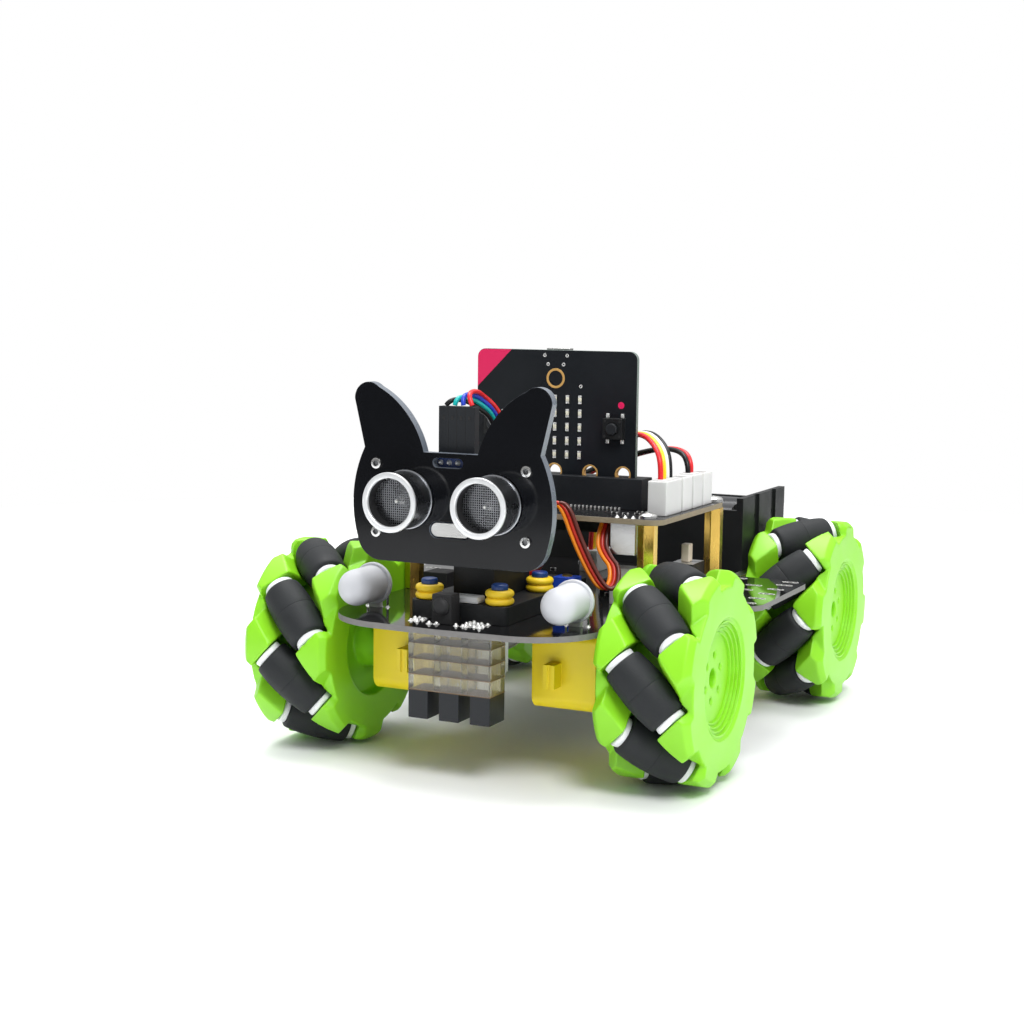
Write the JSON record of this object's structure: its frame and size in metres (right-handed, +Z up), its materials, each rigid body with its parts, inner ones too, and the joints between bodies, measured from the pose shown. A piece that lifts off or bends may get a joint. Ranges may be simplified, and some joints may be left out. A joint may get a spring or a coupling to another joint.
{
  "type": "mecanum wheel robot",
  "caption": "Small omnidirectional robot car with lime green roller wheels, gear motors, stacked circuit boards, a battery pack and a panning distance-sensor head with a cat face.",
  "frame": {"origin": "on the ground, in the middle of the robot's length and width", "axes": "+Z up, the robot looks and drives forward along -Y, +X is its left-hand side"},
  "size_m": [0.134, 0.2, 0.1153],
  "materials": {
    "hub_plastic": "moulded lime green, satin gloss",
    "roller_rubber": "charcoal, matt",
    "board_black": "glossy black solder mask",
    "component_black": "moulded black",
    "diffuser_white": "milky diffused",
    "clear_acrylic": "clear, polished",
    "motor_yellow": "moulded yellow",
    "bracket_aluminium": "satin",
    "brass": "bright",
    "deck_black": "glossy black solder mask, pale edge",
    "socket_white": "moulded white",
    "controller_black": "satin black solder mask",
    "button_black": "satin black",
    "switch_knob": "cream",
    "holder_black": "moulded black",
    "servo_black": "smoked",
    "mount_black": "moulded black",
    "panel_black": "glossy black sheet",
    "sensor_blue": "blue solder mask",
    "can_grey": "dark can with a bright rim",
    "head_black": "moulded black",
    "lead_insulation": "soft insulation"
  },
  "bodies": {
    "chassis": {"base_board": "board_black", "base_components": "component_black", "headlights": "diffuser_white", "line_sensor": "clear_acrylic", "gear_motors": "motor_yellow", "motor_brackets": "bracket_aluminium", "standoffs": "brass", "expansion_board": "deck_black", "board_connectors": "socket_white", "controller_board": "controller_black", "battery_pack": "holder_black", "servo": "servo_black", "servo_mount": "mount_black", "servo_leads": "lead_insulation", "sensor_leads_body": "lead_insulation", "board_leads": "lead_insulation"},
    "head": {"head_bracket": "head_black", "face_panel": "panel_black", "sensor_board": "sensor_blue", "transducers": "can_grey", "sensor_leads_head": "lead_insulation"},
    "button_a": {"button_a": "button_black"},
    "button_b": {"button_b": "button_black"},
    "power_switch": {"power_switch": "switch_knob"},
    "wheel_front_left": {"hub_front_left": "hub_plastic"},
    "wheel_front_right": {"hub_front_right": "hub_plastic"},
    "wheel_rear_left": {"hub_rear_left": "hub_plastic"},
    "wheel_rear_right": {"hub_rear_right": "hub_plastic"},
    "roller_front_left_1": {"roller_front_left_1": "roller_rubber"},
    "roller_front_left_2": {"roller_front_left_2": "roller_rubber"},
    "roller_front_left_3": {"roller_front_left_3": "roller_rubber"},
    "roller_front_left_4": {"roller_front_left_4": "roller_rubber"},
    "roller_front_left_5": {"roller_front_left_5": "roller_rubber"},
    "roller_front_left_6": {"roller_front_left_6": "roller_rubber"},
    "roller_front_left_7": {"roller_front_left_7": "roller_rubber"},
    "roller_front_left_8": {"roller_front_left_8": "roller_rubber"},
    "roller_front_right_1": {"roller_front_right_1": "roller_rubber"},
    "roller_front_right_2": {"roller_front_right_2": "roller_rubber"},
    "roller_front_right_3": {"roller_front_right_3": "roller_rubber"},
    "roller_front_right_4": {"roller_front_right_4": "roller_rubber"},
    "roller_front_right_5": {"roller_front_right_5": "roller_rubber"},
    "roller_front_right_6": {"roller_front_right_6": "roller_rubber"},
    "roller_front_right_7": {"roller_front_right_7": "roller_rubber"},
    "roller_front_right_8": {"roller_front_right_8": "roller_rubber"},
    "roller_rear_left_1": {"roller_rear_left_1": "roller_rubber"},
    "roller_rear_left_2": {"roller_rear_left_2": "roller_rubber"},
    "roller_rear_left_3": {"roller_rear_left_3": "roller_rubber"},
    "roller_rear_left_4": {"roller_rear_left_4": "roller_rubber"},
    "roller_rear_left_5": {"roller_rear_left_5": "roller_rubber"},
    "roller_rear_left_6": {"roller_rear_left_6": "roller_rubber"},
    "roller_rear_left_7": {"roller_rear_left_7": "roller_rubber"},
    "roller_rear_left_8": {"roller_rear_left_8": "roller_rubber"},
    "roller_rear_right_1": {"roller_rear_right_1": "roller_rubber"},
    "roller_rear_right_2": {"roller_rear_right_2": "roller_rubber"},
    "roller_rear_right_3": {"roller_rear_right_3": "roller_rubber"},
    "roller_rear_right_4": {"roller_rear_right_4": "roller_rubber"},
    "roller_rear_right_5": {"roller_rear_right_5": "roller_rubber"},
    "roller_rear_right_6": {"roller_rear_right_6": "roller_rubber"},
    "roller_rear_right_7": {"roller_rear_right_7": "roller_rubber"},
    "roller_rear_right_8": {"roller_rear_right_8": "roller_rubber"}
  },
  "joints": [
    {"name": "head_pan", "type": "hinge", "parent": "chassis", "child": "head", "pos_m": [0, -0.07, 0.069], "axis": [0, 0, 1], "range_deg": [-60, 60]},
    {"name": "wheel_front_left_spin", "type": "hinge", "parent": "chassis", "child": "wheel_front_left", "pos_m": [0.0535, -0.06, 0.03], "axis": [1, 0, 0], "continuous": true},
    {"name": "wheel_front_right_spin", "type": "hinge", "parent": "chassis", "child": "wheel_front_right", "pos_m": [-0.0535, -0.06, 0.03], "axis": [1, 0, 0], "continuous": true},
    {"name": "wheel_rear_left_spin", "type": "hinge", "parent": "chassis", "child": "wheel_rear_left", "pos_m": [0.0535, 0.06, 0.03], "axis": [1, 0, 0], "continuous": true},
    {"name": "wheel_rear_right_spin", "type": "hinge", "parent": "chassis", "child": "wheel_rear_right", "pos_m": [-0.0535, 0.06, 0.03], "axis": [1, 0, 0], "continuous": true},
    {"name": "button_a_press", "type": "slide", "parent": "chassis", "child": "button_a", "axis": [0, 1, 0], "range_m": [0, 0.00025], "stiffness_N_per_m": 2000},
    {"name": "button_b_press", "type": "slide", "parent": "chassis", "child": "button_b", "axis": [0, 1, 0], "range_m": [0, 0.00025], "stiffness_N_per_m": 2000},
    {"name": "power_switch_slide", "type": "slide", "parent": "chassis", "child": "power_switch", "axis": [0, 1, 0], "range_m": [0, 0.002]},
    {"name": "roller_front_left_1_spin", "type": "hinge", "parent": "wheel_front_left", "child": "roller_front_left_1", "pos_m": [0.0535, -0.0838, 0.03], "axis": [0.7071, 0, -0.7071], "continuous": true},
    {"name": "roller_front_left_2_spin", "type": "hinge", "parent": "wheel_front_left", "child": "roller_front_left_2", "pos_m": [0.0535, -0.07683, 0.04683], "axis": [0.7071, -0.5, -0.5], "continuous": true},
    {"name": "roller_front_left_3_spin", "type": "hinge", "parent": "wheel_front_left", "child": "roller_front_left_3", "pos_m": [0.0535, -0.06, 0.0538], "axis": [0.7071, -0.7071, 0], "continuous": true},
    {"name": "roller_front_left_4_spin", "type": "hinge", "parent": "wheel_front_left", "child": "roller_front_left_4", "pos_m": [0.0535, -0.04317, 0.04683], "axis": [0.7071, -0.5, 0.5], "continuous": true},
    {"name": "roller_front_left_5_spin", "type": "hinge", "parent": "wheel_front_left", "child": "roller_front_left_5", "pos_m": [0.0535, -0.0362, 0.03], "axis": [0.7071, 0, 0.7071], "continuous": true},
    {"name": "roller_front_left_6_spin", "type": "hinge", "parent": "wheel_front_left", "child": "roller_front_left_6", "pos_m": [0.0535, -0.04317, 0.01317], "axis": [0.7071, 0.5, 0.5], "continuous": true},
    {"name": "roller_front_left_7_spin", "type": "hinge", "parent": "wheel_front_left", "child": "roller_front_left_7", "pos_m": [0.0535, -0.06, 0.0062], "axis": [0.7071, 0.7071, 0], "continuous": true},
    {"name": "roller_front_left_8_spin", "type": "hinge", "parent": "wheel_front_left", "child": "roller_front_left_8", "pos_m": [0.0535, -0.07683, 0.01317], "axis": [0.7071, 0.5, -0.5], "continuous": true},
    {"name": "roller_front_right_1_spin", "type": "hinge", "parent": "wheel_front_right", "child": "roller_front_right_1", "pos_m": [-0.0535, -0.08157, 0.04006], "axis": [0.7071, -0.2988, -0.6409], "continuous": true},
    {"name": "roller_front_right_2_spin", "type": "hinge", "parent": "wheel_front_right", "child": "roller_front_right_2", "pos_m": [-0.0535, -0.06814, 0.05236], "axis": [0.7071, -0.6645, -0.2418], "continuous": true},
    {"name": "roller_front_right_3_spin", "type": "hinge", "parent": "wheel_front_right", "child": "roller_front_right_3", "pos_m": [-0.0535, -0.04994, 0.05157], "axis": [0.7071, -0.6409, 0.2988], "continuous": true},
    {"name": "roller_front_right_4_spin", "type": "hinge", "parent": "wheel_front_right", "child": "roller_front_right_4", "pos_m": [-0.0535, -0.03764, 0.03814], "axis": [0.7071, -0.2418, 0.6645], "continuous": true},
    {"name": "roller_front_right_5_spin", "type": "hinge", "parent": "wheel_front_right", "child": "roller_front_right_5", "pos_m": [-0.0535, -0.03843, 0.01994], "axis": [0.7071, 0.2988, 0.6409], "continuous": true},
    {"name": "roller_front_right_6_spin", "type": "hinge", "parent": "wheel_front_right", "child": "roller_front_right_6", "pos_m": [-0.0535, -0.05186, 0.00764], "axis": [0.7071, 0.6645, 0.2418], "continuous": true},
    {"name": "roller_front_right_7_spin", "type": "hinge", "parent": "wheel_front_right", "child": "roller_front_right_7", "pos_m": [-0.0535, -0.07006, 0.00843], "axis": [0.7071, 0.6409, -0.2988], "continuous": true},
    {"name": "roller_front_right_8_spin", "type": "hinge", "parent": "wheel_front_right", "child": "roller_front_right_8", "pos_m": [-0.0535, -0.08236, 0.02186], "axis": [0.7071, 0.2418, -0.6645], "continuous": true},
    {"name": "roller_rear_left_1_spin", "type": "hinge", "parent": "wheel_rear_left", "child": "roller_rear_left_1", "pos_m": [0.0535, 0.03939, 0.0419], "axis": [0.7071, 0.3536, 0.6124], "continuous": true},
    {"name": "roller_rear_left_2_spin", "type": "hinge", "parent": "wheel_rear_left", "child": "roller_rear_left_2", "pos_m": [0.0535, 0.05384, 0.05299], "axis": [0.7071, 0.683, 0.183], "continuous": true},
    {"name": "roller_rear_left_3_spin", "type": "hinge", "parent": "wheel_rear_left", "child": "roller_rear_left_3", "pos_m": [0.0535, 0.0719, 0.05061], "axis": [0.7071, 0.6124, -0.3536], "continuous": true},
    {"name": "roller_rear_left_4_spin", "type": "hinge", "parent": "wheel_rear_left", "child": "roller_rear_left_4", "pos_m": [0.0535, 0.08299, 0.03616], "axis": [0.7071, 0.183, -0.683], "continuous": true},
    {"name": "roller_rear_left_5_spin", "type": "hinge", "parent": "wheel_rear_left", "child": "roller_rear_left_5", "pos_m": [0.0535, 0.08061, 0.0181], "axis": [0.7071, -0.3536, -0.6124], "continuous": true},
    {"name": "roller_rear_left_6_spin", "type": "hinge", "parent": "wheel_rear_left", "child": "roller_rear_left_6", "pos_m": [0.0535, 0.06616, 0.00701], "axis": [0.7071, -0.683, -0.183], "continuous": true},
    {"name": "roller_rear_left_7_spin", "type": "hinge", "parent": "wheel_rear_left", "child": "roller_rear_left_7", "pos_m": [0.0535, 0.0481, 0.00939], "axis": [0.7071, -0.6124, 0.3536], "continuous": true},
    {"name": "roller_rear_left_8_spin", "type": "hinge", "parent": "wheel_rear_left", "child": "roller_rear_left_8", "pos_m": [0.0535, 0.03701, 0.02384], "axis": [0.7071, -0.183, 0.683], "continuous": true},
    {"name": "roller_rear_right_1_spin", "type": "hinge", "parent": "wheel_rear_right", "child": "roller_rear_right_1", "pos_m": [-0.0535, 0.03656, 0.03413], "axis": [0.7071, 0.1228, 0.6964], "continuous": true},
    {"name": "roller_rear_right_2_spin", "type": "hinge", "parent": "wheel_rear_right", "child": "roller_rear_right_2", "pos_m": [-0.0535, 0.04635, 0.0495], "axis": [0.7071, 0.5792, 0.4056], "continuous": true},
    {"name": "roller_rear_right_3_spin", "type": "hinge", "parent": "wheel_rear_right", "child": "roller_rear_right_3", "pos_m": [-0.0535, 0.06413, 0.05344], "axis": [0.7071, 0.6964, -0.1228], "continuous": true},
    {"name": "roller_rear_right_4_spin", "type": "hinge", "parent": "wheel_rear_right", "child": "roller_rear_right_4", "pos_m": [-0.0535, 0.0795, 0.04365], "axis": [0.7071, 0.4056, -0.5792], "continuous": true},
    {"name": "roller_rear_right_5_spin", "type": "hinge", "parent": "wheel_rear_right", "child": "roller_rear_right_5", "pos_m": [-0.0535, 0.08344, 0.02587], "axis": [0.7071, -0.1228, -0.6964], "continuous": true},
    {"name": "roller_rear_right_6_spin", "type": "hinge", "parent": "wheel_rear_right", "child": "roller_rear_right_6", "pos_m": [-0.0535, 0.07365, 0.0105], "axis": [0.7071, -0.5792, -0.4056], "continuous": true},
    {"name": "roller_rear_right_7_spin", "type": "hinge", "parent": "wheel_rear_right", "child": "roller_rear_right_7", "pos_m": [-0.0535, 0.05587, 0.00656], "axis": [0.7071, -0.6964, 0.1228], "continuous": true},
    {"name": "roller_rear_right_8_spin", "type": "hinge", "parent": "wheel_rear_right", "child": "roller_rear_right_8", "pos_m": [-0.0535, 0.0405, 0.01635], "axis": [0.7071, -0.4056, 0.5792], "continuous": true}
  ]
}
